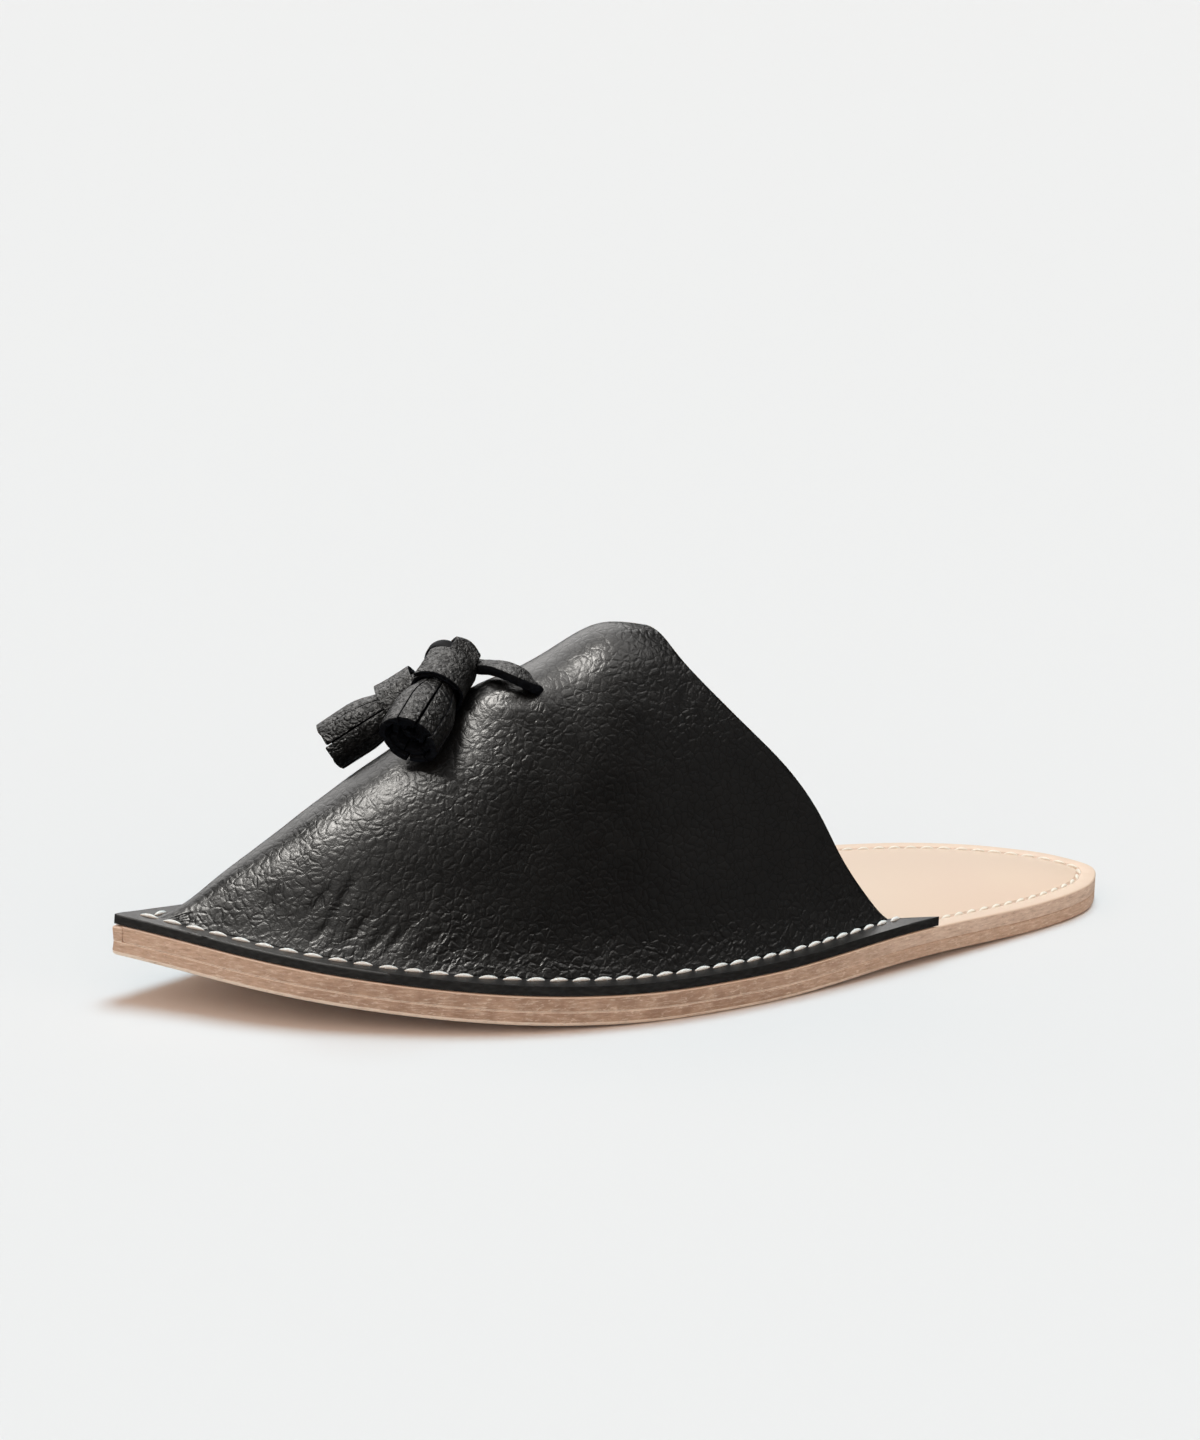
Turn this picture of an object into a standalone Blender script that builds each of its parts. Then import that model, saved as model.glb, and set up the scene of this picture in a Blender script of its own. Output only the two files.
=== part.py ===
"""Left-foot leather slipper with an open heel: two leather sole layers, a vamp
sewn down by an outward flange, and two tassels hanging from a thong.

Metres, +Z up, toe along -Y, outer (lateral) side of the foot along +X. The
origin is on the floor under the middle of the sole.
"""
import math
from collections import namedtuple

import bmesh
import bpy
import numpy as np
from mathutils import Matrix, Vector

# Driving sizes of the shoe.
LENGTH = 0.280
BALL_WIDTH = 0.097
INSTEP_HEIGHT = 0.0810
TOE_SPRING = 0.0119
ARCH_RISE = 0.0016

# Sole layers, and the clearance between pieces that touch.
OUTSOLE_THICKNESS = 0.0039
INSOLE_THICKNESS = 0.0038
CLEARANCE = 0.0003
TREAD_CHAMFER = 0.0006
EDGE_ROUND = 0.0004
SOLE_HEIGHT = OUTSOLE_THICKNESS + CLEARANCE + INSOLE_THICKNESS

# Where along the length the tread leaves and meets the floor, as shares.
HEEL_FLAT_END = 0.09
BALL_FLAT_START = 0.44
BALL_FLAT_END = 0.54
TOE_SPRING_POWER = 1.6

# Half breadths of the sole as shares of the ball width, a row per station.
Breadth = namedtuple("Breadth", "share lateral medial")
OUTLINE = (
    Breadth(0.02, 0.081, 0.164),
    Breadth(0.05, 0.145, 0.252),
    Breadth(0.09, 0.194, 0.335),
    Breadth(0.14, 0.240, 0.390),
    Breadth(0.20, 0.292, 0.411),
    Breadth(0.28, 0.360, 0.424),
    Breadth(0.36, 0.424, 0.444),
    Breadth(0.44, 0.474, 0.469),
    Breadth(0.52, 0.500, 0.490),
    Breadth(0.60, 0.496, 0.500),
    Breadth(0.68, 0.457, 0.481),
    Breadth(0.76, 0.376, 0.432),
    Breadth(0.84, 0.254, 0.355),
    Breadth(0.90, 0.123, 0.288),
    Breadth(0.95, -0.020, 0.228),
    Breadth(0.98, -0.103, 0.191),
)
HEEL_POINT = -0.030
TOE_POINT = -0.160
OUTLINE_STEPS = 3

# Steps for reading slopes, and the search for the middle line of the foot.
SLOPE_STEP = 0.0003
MIDLINE_REACH = (0.05, 0.995)
MIDLINE_STATIONS = 120
MIDLINE_BAND = (0.2, 0.8)
MIDLINE_TRIES = 41
LEAST_ROOM = 0.001

# Upper: wall, flange and the crest's height as a share of the instep.
UPPER_THICKNESS = 0.0025
FLANGE_WIDTH = 0.0065
Crest = namedtuple("Crest", "share height")
VAMP_CREST = (
    Crest(0.40, 0.893),
    Crest(0.46, 0.939),
    Crest(0.52, 1.000),
    Crest(0.56, 0.989),
    Crest(0.60, 0.921),
    Crest(0.70, 0.727),
    Crest(0.80, 0.489),
    Crest(0.90, 0.184),
    Crest(0.955, 0.014),
    Crest(0.977, 0.000),
)
CREST_ROUNDNESS = 2.25
SIDE_HOLLOW = 1.35

# Collar: where its ends leave the flange, and how far its edge then leans forward, from
# either side (column 0) up to the middle of the crest (column 0.5).
COLLAR_LATERAL_SHARE = 0.238
COLLAR_MEDIAL_SHARE = 0.258
CollarEdge = namedtuple("CollarEdge", "column lean")
COLLAR_EDGE = (
    CollarEdge(0.00, 0.0000),
    CollarEdge(0.04, 0.0135),
    CollarEdge(0.07, 0.0235),
    CollarEdge(0.11, 0.0300),
    CollarEdge(0.15, 0.0390),
    CollarEdge(0.19, 0.0515),
    CollarEdge(0.24, 0.0620),
    CollarEdge(0.31, 0.0672),
    CollarEdge(0.40, 0.0692),
    CollarEdge(0.50, 0.0698),
)

# Grid of the upper: rows from toe to collar, columns along its contours. The wall is
# measured upright at the toe and square to the surface behind it.
UPPER_ROWS = 30
ROW_CROWDING = 1.5
FINE_COLUMNS = 241
TOE_FLANGE_SHARE = 0.8
FLANGE_LEVELS = (0.0, 0.5)
WALL_LEVELS = (0.0, 0.03, 0.08, 0.15, 0.24, 0.35, 0.47, 0.60, 0.72, 0.83, 0.92, 1.0)
UPPER_COLUMNS = 2 * (len(FLANGE_LEVELS) + len(WALL_LEVELS) - 1)
SQUARE_WALL_START = 0.45
SQUARE_WALL_SPAN = 0.40

# Tassels: cut strips on a round head, bound by a wrap. The radii are for a girth of one.
Tassel = namedtuple("Tassel", "name girth top tip")
TASSELS = (
    Tassel("lateral", 1.10, Vector((-0.0096, -0.0488, 0.0828)), Vector((0.0094, -0.0690, 0.0697))),
    Tassel("medial", 0.94, Vector((-0.0193, -0.0516, 0.0752)), Vector((-0.0282, -0.0748, 0.0580))),
)
TASSEL_LENGTH = 0.0325
STRIP_COUNT = 9
SLIT_SHARE = 0.05
SLIT_DEPTH = 0.35
HEAD_RADIUS = 0.0049
SKIRT_RADIUS = 0.0074
SKIRT_STATIONS = (0.04, 0.25, 0.5, 0.75, 1.0)
SKIRT_SPREAD = 2.0
WRAP_START = 0.0005
WRAP_LENGTH = 0.0130
WRAP_THICKNESS = 0.0009
WRAP_SIDES = 24
LOOPED_TASSEL = "lateral"
LOOP_RADIUS = 0.0042
LOOP_THICKNESS = 0.0012
LOOP_RISE = 0.0022
LOOP_STRETCH = 2.2
LOOP_THONG_POINT = 7
LOOP_SEGMENTS = 20
LOOP_SIDES = 8

# Thong: its middle line from the vamp over to the medial tassel's head.
THONG_RADIUS = 0.0016
THONG_POINTS = (
    Vector((0.0076, -0.0345, 0.0788)),
    Vector((0.0090, -0.0368, 0.0813)),
    Vector((0.0079, -0.0394, 0.0828)),
    Vector((0.0048, -0.0414, 0.0833)),
    Vector((0.0006, -0.0420, 0.0829)),
    Vector((-0.0046, -0.0422, 0.0820)),
    Vector((-0.0083, -0.0446, 0.0833)),
    Vector((-0.0110, -0.0473, 0.0839)),
    Vector((-0.0143, -0.0500, 0.0838)),
    Vector((-0.0172, -0.0513, 0.0815)),
    Vector((-0.0190, -0.0512, 0.0769)),
)
THONG_STEPS = 3
THONG_RESOLUTION = 2

# Merging of doubled points, and the angle past which an edge is shaded sharp.
MERGE_DISTANCE = 1e-6
SHARP_ANGLE = math.radians(40)

# Base colour, roughness and metallic value of each leather.
Finish = namedtuple("Finish", "colour roughness metallic")
FINISHES = {
    "tan_sole_leather": Finish((0.45, 0.29, 0.19, 1.0), 0.65, 0.0),
    "pale_insole_leather": Finish((0.87, 0.71, 0.58, 1.0), 0.55, 0.0),
    "black_grain_leather": Finish((0.012, 0.012, 0.012, 1.0), 0.42, 0.0),
}


def clear_scene():
    for item in list(bpy.data.objects):
        bpy.data.objects.remove(item, do_unlink=True)


def new_collection(name):
    collection = bpy.data.collections.new(name)
    bpy.context.scene.collection.children.link(collection)
    return collection


def leather(name):
    finish = FINISHES[name]
    material = bpy.data.materials.get(name) or bpy.data.materials.new(name)
    material.use_nodes = True
    shader = material.node_tree.nodes["Principled BSDF"]
    shader.inputs["Base Color"].default_value = finish.colour
    shader.inputs["Roughness"].default_value = finish.roughness
    shader.inputs["Metallic"].default_value = finish.metallic
    return material


def add_object(name, mesh_builder, collection, material_name):
    """Turn a finished bmesh into a smooth-shaded object with its leather."""
    bmesh.ops.recalc_face_normals(mesh_builder, faces=mesh_builder.faces)
    mesh = bpy.data.meshes.new(name)
    mesh_builder.to_mesh(mesh)
    mesh_builder.free()
    mesh.shade_smooth()
    mesh.set_sharp_from_angle(angle=SHARP_ANGLE)
    mesh.materials.append(leather(material_name))
    item = bpy.data.objects.new(name, mesh)
    collection.objects.link(item)
    return item


def smooth_through(xs, ys, x):
    """Cubic curve through table values, with slopes read from their neighbours."""
    slopes = np.gradient(ys, xs)
    span = np.clip(np.searchsorted(xs, x) - 1, 0, len(xs) - 2)
    width = xs[span + 1] - xs[span]
    t = np.clip((x - xs[span]) / width, 0.0, 1.0)
    start = (1 + 2 * t) * (1 - t) ** 2 * ys[span] + t * (1 - t) ** 2 * width * slopes[span]
    end = t * t * (3 - 2 * t) * ys[span + 1] - t * t * (1 - t) * width * slopes[span + 1]
    return start + end


def round_through(points, steps, closed):
    """Catmull-Rom curve through points, with the given steps in each span."""
    count = len(points)
    spans = count if closed else count - 1
    curve = []
    for i in range(spans):
        if closed:
            p0, p1, p2, p3 = (np.array(points[(i + k) % count]) for k in (-1, 0, 1, 2))
        else:
            p0, p1, p2, p3 = (np.array(points[min(max(i + k, 0), count - 1)]) for k in (-1, 0, 1, 2))
        for t in np.arange(steps) / steps:
            bend = 2 * p0 - 5 * p1 + 4 * p2 - p3
            twist = -p0 + 3 * p1 - 3 * p2 + p3
            curve.append(p1 + 0.5 * t * ((p2 - p0) + t * (bend + t * twist)))
    if not closed:
        curve.append(np.array(points[-1]))
    return np.array(curve)


def tread_height(along):
    """Height of the tread over the floor at a distance from the heel's back."""
    share = np.clip(np.asarray(along) / LENGTH, 0.0, 1.0)
    waist = np.clip((share - HEEL_FLAT_END) / (BALL_FLAT_START - HEEL_FLAT_END), 0.0, 1.0)
    front = np.clip((share - BALL_FLAT_END) / (1.0 - BALL_FLAT_END), 0.0, 1.0)
    return ARCH_RISE * np.sin(math.pi * waist) ** 2 + TOE_SPRING * front ** TOE_SPRING_POWER


def tread_slope(along):
    return (tread_height(along + SLOPE_STEP) - tread_height(along - SLOPE_STEP)) / (2 * SLOPE_STEP)


def sole_outline():
    """Closed outline from the heel's back, round the lateral side to the toe."""
    lateral = [(row.share * LENGTH, row.lateral * BALL_WIDTH) for row in OUTLINE]
    medial = [(row.share * LENGTH, -row.medial * BALL_WIDTH) for row in OUTLINE]
    heel = [(0.0, HEEL_POINT * BALL_WIDTH)]
    toe = [(LENGTH, TOE_POINT * BALL_WIDTH)]
    return round_through(heel + lateral + toe + medial[::-1], OUTLINE_STEPS, closed=True)


def inset(outline, amount):
    """Outline moved inwards, square to itself."""
    run = np.roll(outline, -1, axis=0) - np.roll(outline, 1, axis=0)
    run /= np.linalg.norm(run, axis=1)[:, None]
    inward = np.stack([run[:, 1], -run[:, 0]], axis=1)
    return outline + amount * inward


def stand_on_tread(plan, lift):
    """World points at a height square to the tread, over plan points (along, across)."""
    along, across = plan[..., 0], plan[..., 1]
    slope = tread_slope(along)
    scale = 1 / np.sqrt(1 + slope ** 2)
    y = LENGTH / 2 - (along - slope * scale * lift)
    return np.stack([across, y, tread_height(along) + scale * lift], axis=-1)


def sole_layer(name, levels, collection, material_name):
    """Layer of the sole from rings at (inset, lift) levels, its faces laid across the foot."""
    outline = sole_outline()
    count = len(outline)
    builder = bmesh.new()
    rings = []
    for edge_inset, lift in levels:
        ring = stand_on_tread(inset(outline, edge_inset), lift)
        rings.append([builder.verts.new(point) for point in ring])
    for lower, upper in zip(rings, rings[1:]):
        for i in range(count):
            j = (i + 1) % count
            builder.faces.new((lower[i], lower[j], upper[j], upper[i]))
    for ring in (rings[0], rings[-1]):
        for i in range(count // 2):
            corners = (ring[i], ring[i + 1], ring[-i - 1], ring[-i])
            builder.faces.new(dict.fromkeys(corners))
    return add_object(name, builder, collection, material_name)


def distance_to(outline, plan):
    """Shortest distance from each plan point to the closed outline."""
    start = outline
    run = np.roll(outline, -1, axis=0) - start
    offset = plan[..., None, :] - start
    t = np.clip((offset * run).sum(-1) / (run * run).sum(-1), 0.0, 1.0)
    return np.linalg.norm(offset - t[..., None] * run, axis=-1).min(-1)


def half_breadth_at(outline, along):
    """Distance from the outline of the middle of the foot at each station."""
    stations = LENGTH * np.linspace(*MIDLINE_REACH, MIDLINE_STATIONS)
    shares = np.linspace(*MIDLINE_BAND, MIDLINE_TRIES)
    lateral = side_at(outline, stations, "lateral")
    medial = side_at(outline, stations, "medial")
    across = medial[:, None] + (lateral - medial)[:, None] * shares
    plan = np.stack([np.broadcast_to(stations[:, None], across.shape), across], axis=-1)
    return np.interp(along, stations, distance_to(outline, plan).max(1))


def side_at(outline, along, side):
    """Across position of one side of the outline at distances from the heel."""
    half = len(outline) // 2
    points = outline[: half + 1] if side == "lateral" else np.vstack([outline[:1], outline[: half - 1: -1]])
    return np.interp(along, points[:, 0], points[:, 1])


def vamp_rise(outline, plan):
    """Height of the vamp's outer face over the flange."""
    along = plan[..., 0]
    shares = np.array([row.share for row in VAMP_CREST])
    heights = np.array([row.height for row in VAMP_CREST])
    crest = INSTEP_HEIGHT * np.clip(smooth_through(shares, heights, along / LENGTH), 0.0, None)
    room = np.maximum(half_breadth_at(outline, along) - FLANGE_WIDTH, LEAST_ROOM)
    inwards = np.clip((distance_to(outline, plan) - FLANGE_WIDTH) / room, 0.0, 1.0)
    return crest * (1 - (1 - inwards) ** CREST_ROUNDNESS) ** SIDE_HOLLOW


def vamp_slope(outline, plan, step):
    """Slope of the vamp's outer face in the direction of a small step in plan."""
    return (vamp_rise(outline, plan + step) - vamp_rise(outline, plan - step)) / (2 * SLOPE_STEP)


def collar_lean(column):
    """How far the collar's edge leans forward of its ends."""
    columns = np.array([row.column for row in COLLAR_EDGE])
    leans = np.array([row.lean for row in COLLAR_EDGE])
    return smooth_through(columns, leans, column)


def row_curves(outline, column):
    """Plan rows across the vamp from the toe back to the collar, each bowed to the front."""
    row = np.linspace(0.0, 1.0, UPPER_ROWS + 1)[:, None]
    lateral_along = LENGTH * (1 - (1 - COLLAR_LATERAL_SHARE) * row ** ROW_CROWDING)
    medial_along = LENGTH * (1 - (1 - COLLAR_MEDIAL_SHARE) * row ** ROW_CROWDING)
    lateral_across = side_at(outline, lateral_along, "lateral")
    medial_across = side_at(outline, medial_along, "medial")
    bow = row * np.sin(0.5 * math.pi * row) * collar_lean(np.minimum(column, 1 - column))
    along = lateral_along + (medial_along - lateral_along) * column + bow
    across = lateral_across + (medial_across - lateral_across) * column
    return np.stack([along, across], axis=-1)


def vamp_plan(outline):
    """Rows of plan points whose columns follow the flange's edge and the vamp's contours."""
    fine = row_curves(outline, np.linspace(0.0, 1.0, FINE_COLUMNS))
    plan = []
    for curve, depth in zip(fine, distance_to(outline, fine)):
        ridge = int(depth.argmax())
        flange = min(FLANGE_WIDTH, TOE_FLANGE_SHARE * depth[ridge])
        levels = [share * flange for share in FLANGE_LEVELS]
        levels += [flange + share * (depth[ridge] - flange) for share in WALL_LEVELS]
        index = np.arange(FINE_COLUMNS)
        lateral = np.interp(levels, depth[: ridge + 1], index[: ridge + 1])
        medial = np.interp(levels[:-1], depth[ridge:][::-1], index[ridge:][::-1])
        place = np.concatenate([lateral, medial[::-1]])
        plan.append(np.stack([np.interp(place, index, curve[:, axis]) for axis in (0, 1)], axis=-1))
    return np.array(plan)


def vamp_faces(outline):
    """Outer and inner points of the upper: the wall turns into the flange at its foot."""
    plan = vamp_plan(outline)
    rise = vamp_rise(outline, plan)
    ahead = vamp_slope(outline, plan, np.array((SLOPE_STEP, 0.0)))
    aside = vamp_slope(outline, plan, np.array((0.0, SLOPE_STEP)))
    steepness = np.sqrt(1 + ahead ** 2 + aside ** 2)
    rows = np.linspace(0.0, 1.0, UPPER_ROWS + 1)[:, None]
    squareness = np.clip((rows - SQUARE_WALL_START) / SQUARE_WALL_SPAN, 0.0, 1.0)
    drop = UPPER_THICKNESS * (squareness / steepness + (1 - squareness) * steepness)
    shift = UPPER_THICKNESS * squareness / steepness
    inner_plan = plan + np.stack([ahead * shift, aside * shift], axis=-1)
    foot = SOLE_HEIGHT + CLEARANCE
    outer = stand_on_tread(plan, foot + UPPER_THICKNESS + rise)
    inner = stand_on_tread(inner_plan, np.maximum(foot + UPPER_THICKNESS + rise - drop, foot))
    return outer, inner


def upper(collection):
    """One hollow wall: outer and inner grids joined along the flange and the collar."""
    builder = bmesh.new()
    grids = []
    for points in vamp_faces(sole_outline()):
        toe = builder.verts.new(points[0, 0])
        rows = [[toe] * (UPPER_COLUMNS + 1)]
        rows += [[builder.verts.new(point) for point in row] for row in points[1:]]
        grids.append(rows)
    for rows in grids:
        for back, front in zip(rows, rows[1:]):
            for j in range(UPPER_COLUMNS):
                builder.faces.new(dict.fromkeys((back[j], back[j + 1], front[j + 1], front[j])))
    outer, inner = grids
    edges = [(outer[i][0], inner[i][0]) for i in range(UPPER_ROWS, 0, -1)]
    edges += [(outer[i][-1], inner[i][-1]) for i in range(UPPER_ROWS + 1)]
    edges += [(outer[-1][j], inner[-1][j]) for j in range(UPPER_COLUMNS - 1, 0, -1)]
    for (top, bottom), (next_top, next_bottom) in zip(edges, edges[1:] + edges[:1]):
        builder.faces.new((top, bottom, next_bottom, next_top))
    return add_object("upper", builder, collection, "black_grain_leather")


def axis_frame(top, tip):
    """Placing whose +Z runs from a tassel's top to its tip."""
    turn = (tip - top).to_track_quat("Z", "Y")
    return Matrix.Translation(top) @ turn.to_matrix().to_4x4()


def skirt_radius(distance):
    """Radius of the tassel: a round head, then strips that spread to the tip."""
    free = max(distance - WRAP_START - WRAP_LENGTH, 0.0) / (TASSEL_LENGTH - WRAP_START - WRAP_LENGTH)
    spread = math.sin(0.5 * math.pi * min(SKIRT_SPREAD * free, 1.0))
    return HEAD_RADIUS + (SKIRT_RADIUS - HEAD_RADIUS) * spread


def tassel_section(distance, girth):
    """Ring of the tassel with a slit between neighbouring strips."""
    wrap_end = WRAP_START + WRAP_LENGTH
    slit = SLIT_DEPTH if distance > wrap_end + CLEARANCE else 0.0
    radius = girth * skirt_radius(distance)
    ring = []
    for i in range(STRIP_COUNT):
        for share, depth in ((0.0, slit), (SLIT_SHARE, 0.0), (0.5, 0.0), (1 - SLIT_SHARE, 0.0)):
            angle = math.tau * (i + share) / STRIP_COUNT
            reach = radius * (1 - depth)
            ring.append(Vector((reach * math.cos(angle), reach * math.sin(angle), distance)))
    return ring


def tassel_skirt(row, collection):
    """Head and strips of one tassel as a single body."""
    wrap_end = WRAP_START + WRAP_LENGTH
    free = TASSEL_LENGTH - wrap_end
    stations = [0.0, wrap_end] + [wrap_end + share * free for share in SKIRT_STATIONS]
    placing = axis_frame(row.top, row.tip)
    builder = bmesh.new()
    rings = [[builder.verts.new(placing @ point) for point in tassel_section(d, row.girth)] for d in stations]
    for lower, higher in zip(rings, rings[1:]):
        for i in range(len(lower)):
            j = (i + 1) % len(lower)
            builder.faces.new((lower[i], lower[j], higher[j], higher[i]))
    for ring in (rings[0], rings[-1]):
        caps = [builder.faces.new(ring)]
        bmesh.ops.poke(builder, faces=caps)
    return add_object("tassel_" + row.name, builder, collection, "black_grain_leather")


def tassel_loop(row, skirt, guides):
    """Folded strip standing on a tassel's head, joined to it, for the thong to pass through."""
    bpy.ops.mesh.primitive_torus_add(major_segments=LOOP_SEGMENTS, minor_segments=LOOP_SIDES,
                                     major_radius=LOOP_RADIUS, minor_radius=LOOP_THICKNESS)
    loop = bpy.context.object
    loop.name = "loop_" + row.name
    axis = (row.tip - row.top).normalized()
    across = (THONG_POINTS[LOOP_THONG_POINT + 1] - THONG_POINTS[LOOP_THONG_POINT - 1]).normalized()
    across = (across - across.dot(axis) * axis).normalized()
    turn = Matrix((across.cross(axis), axis, across)).transposed().to_4x4()
    stretch = Matrix.Diagonal((1.0, 1.0, LOOP_STRETCH, 1.0))
    loop.data.transform(Matrix.Translation(row.top - LOOP_RISE * axis) @ turn @ stretch)
    for collection in list(loop.users_collection):
        collection.objects.unlink(loop)
    guides.objects.link(loop)
    loop.hide_render = True
    loop.display_type = "WIRE"
    union = skirt.modifiers.new("loop", "BOOLEAN")
    union.operation = "UNION"
    union.object = loop


def tassel_wrap(row, collection):
    """Band bound round the tassel's head, a tube clear of the head all round."""
    inside = row.girth * HEAD_RADIUS + CLEARANCE
    outside = inside + WRAP_THICKNESS
    ends = (WRAP_START, WRAP_START + WRAP_LENGTH)
    profile = [(outside, ends[0]), (outside, ends[1]), (inside, ends[1]), (inside, ends[0])]
    placing = axis_frame(row.top, row.tip)
    builder = bmesh.new()
    corners = [builder.verts.new((radius, 0.0, height)) for radius, height in profile]
    loop = [builder.edges.new((corners[i], corners[(i + 1) % len(corners)])) for i in range(len(corners))]
    bmesh.ops.spin(builder, geom=corners + loop, axis=(0, 0, 1), cent=(0, 0, 0),
                   angle=math.tau, steps=WRAP_SIDES, use_merge=True)
    bmesh.ops.remove_doubles(builder, verts=builder.verts, dist=MERGE_DISTANCE)
    bmesh.ops.transform(builder, matrix=placing, verts=builder.verts)
    return add_object("wrap_" + row.name, builder, collection, "black_grain_leather")


def thong(collection):
    """Round leather thong from the vamp over to the tassels' heads."""
    route = round_through([tuple(point) for point in THONG_POINTS], THONG_STEPS, closed=False)
    curve = bpy.data.curves.new("thong_route", "CURVE")
    curve.dimensions = "3D"
    curve.bevel_depth = THONG_RADIUS
    curve.bevel_resolution = THONG_RESOLUTION
    curve.use_fill_caps = True
    spline = curve.splines.new("POLY")
    spline.points.add(len(route) - 1)
    for point, place in zip(spline.points, route):
        point.co = (*place, 1.0)
    guide = bpy.data.objects.new("thong_route", curve)
    collection.objects.link(guide)
    evaluated = guide.evaluated_get(bpy.context.evaluated_depsgraph_get())
    mesh = bpy.data.meshes.new_from_object(evaluated)
    builder = bmesh.new()
    builder.from_mesh(mesh)
    bmesh.ops.remove_doubles(builder, verts=builder.verts, dist=MERGE_DISTANCE)
    bpy.data.objects.remove(guide, do_unlink=True)
    bpy.data.meshes.remove(mesh)
    return add_object("thong", builder, collection, "black_grain_leather")


def build():
    clear_scene()
    slipper = new_collection("leather_slipper")
    outsole_levels = (
        (TREAD_CHAMFER, 0.0),
        (0.0, TREAD_CHAMFER),
        (0.0, OUTSOLE_THICKNESS - EDGE_ROUND),
        (EDGE_ROUND, OUTSOLE_THICKNESS),
    )
    sole_layer("outsole", outsole_levels, slipper, "tan_sole_leather")
    insole_foot = OUTSOLE_THICKNESS + CLEARANCE
    insole_levels = (
        (EDGE_ROUND, insole_foot),
        (0.0, insole_foot + EDGE_ROUND),
        (0.0, SOLE_HEIGHT - EDGE_ROUND),
        (EDGE_ROUND, SOLE_HEIGHT),
    )
    sole_layer("insole", insole_levels, slipper, "pale_insole_leather")
    upper(slipper)
    guides = new_collection("slipper_guides")
    for row in TASSELS:
        skirt = tassel_skirt(row, slipper)
        tassel_wrap(row, slipper)
        if row.name == LOOPED_TASSEL:
            tassel_loop(row, skirt, guides)
    thong(slipper)


build()
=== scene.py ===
import math
from collections import namedtuple

import bmesh
import bpy
import numpy as np
from mathutils import Matrix, Vector
from mathutils.bvhtree import BVHTree


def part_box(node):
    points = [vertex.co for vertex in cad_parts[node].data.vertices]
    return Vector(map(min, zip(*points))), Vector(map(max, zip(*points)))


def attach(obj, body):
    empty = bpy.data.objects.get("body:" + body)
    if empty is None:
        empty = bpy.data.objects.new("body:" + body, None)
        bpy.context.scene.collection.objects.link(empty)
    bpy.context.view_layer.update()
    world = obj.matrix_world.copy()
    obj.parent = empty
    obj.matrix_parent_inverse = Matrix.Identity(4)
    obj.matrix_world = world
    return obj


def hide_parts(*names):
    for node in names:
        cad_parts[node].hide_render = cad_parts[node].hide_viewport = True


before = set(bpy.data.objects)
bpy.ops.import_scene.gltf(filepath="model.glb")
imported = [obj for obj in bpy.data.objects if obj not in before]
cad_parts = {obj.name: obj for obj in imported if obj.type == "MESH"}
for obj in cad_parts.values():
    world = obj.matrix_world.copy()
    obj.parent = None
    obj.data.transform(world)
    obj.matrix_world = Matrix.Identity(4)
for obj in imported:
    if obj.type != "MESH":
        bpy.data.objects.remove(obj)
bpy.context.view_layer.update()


# Outsole: one layer of undyed, vegetable-tanned sole leather, cut to the foot's outline.
# Its side is left bare, so the fibres show, and its edges are sanded to pale bevels. The
# insole is glued on top of it.
OUTSOLE_THICKNESS = 0.0039
TREAD_BEVEL = 0.0012
JOINT_BEVEL = 0.00022
STRIP_LENGTH = 0.004
RIM_STEPS = 3
SIDE_LINE_STEPS = 141
WELD = 1e-6
FACES_UP = 0.9
FACES_SIDEWAYS = 0.1
SOLE_TAN = (0.66, 0.455, 0.325, 1.0)
SOLE_PALE = (0.93, 0.78, 0.64, 1.0)
SOLE_BROWN = (0.33, 0.200, 0.128, 1.0)
SIDE_BROWNING = 0.9
SANDED_BROWNING = 0.15
TOE_TO_WAIST = (-0.135, -0.080)
WAIST_TO_HEEL = (0.0, 0.09)
HEEL_COLOUR_FROM = (0.02, 0.07)


def smooth_through(points, steps, closed):
    """Round curve through points, with a few steps in each span."""
    count = len(points)
    spans = count if closed else count - 1
    curve = []
    for i in range(spans):
        picks = [(i + k) % count if closed else min(max(i + k, 0), count - 1) for k in (-1, 0, 1, 2)]
        before, start, end, after = (np.array(points[k], float) for k in picks)
        for t in np.arange(steps) / steps:
            bend = 2 * before - 5 * start + 4 * end - after
            twist = -before + 3 * start - 3 * end + after
            curve.append(start + 0.5 * t * ((end - before) + t * (bend + t * twist)))
    if not closed:
        curve.append(np.array(points[-1], float))
    return np.array(curve)


def welded(node_name):
    """A merged copy of a solid of the frame."""
    builder = bmesh.new()
    builder.from_mesh(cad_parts[node_name].data)
    bmesh.ops.remove_doubles(builder, verts=builder.verts, dist=WELD)
    builder.normal_update()
    return builder


def rim_of(node_name):
    """Points in order round the upward face of a sole layer."""
    layer = welded(node_name)
    top = {face for face in layer.faces if face.normal.z > FACES_UP}
    rim = {edge for edge in layer.edges if sum(face in top for face in edge.link_faces) == 1}
    edge = min(rim, key=lambda item: item.index)
    vert = edge.verts[0]
    points = []
    while rim:
        points.append(vert.co.copy())
        rim.discard(edge)
        vert = edge.other_vert(vert)
        edge = next((item for item in vert.link_edges if item in rim), None)
        if edge is None:
            break
    layer.free()
    area = sum(a.x * b.y - b.x * a.y for a, b in zip(points, points[1:] + points[:1]))
    return points if area > 0 else points[::-1]


def moved_in(points, amount):
    """A closed plan outline moved inwards, square to itself."""
    run = np.roll(points, -1, axis=0) - np.roll(points, 1, axis=0)
    run /= np.linalg.norm(run[:, :2], axis=1)[:, None]
    return points[:, :2] + amount * np.stack([-run[:, 1], run[:, 0]], axis=1)


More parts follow.
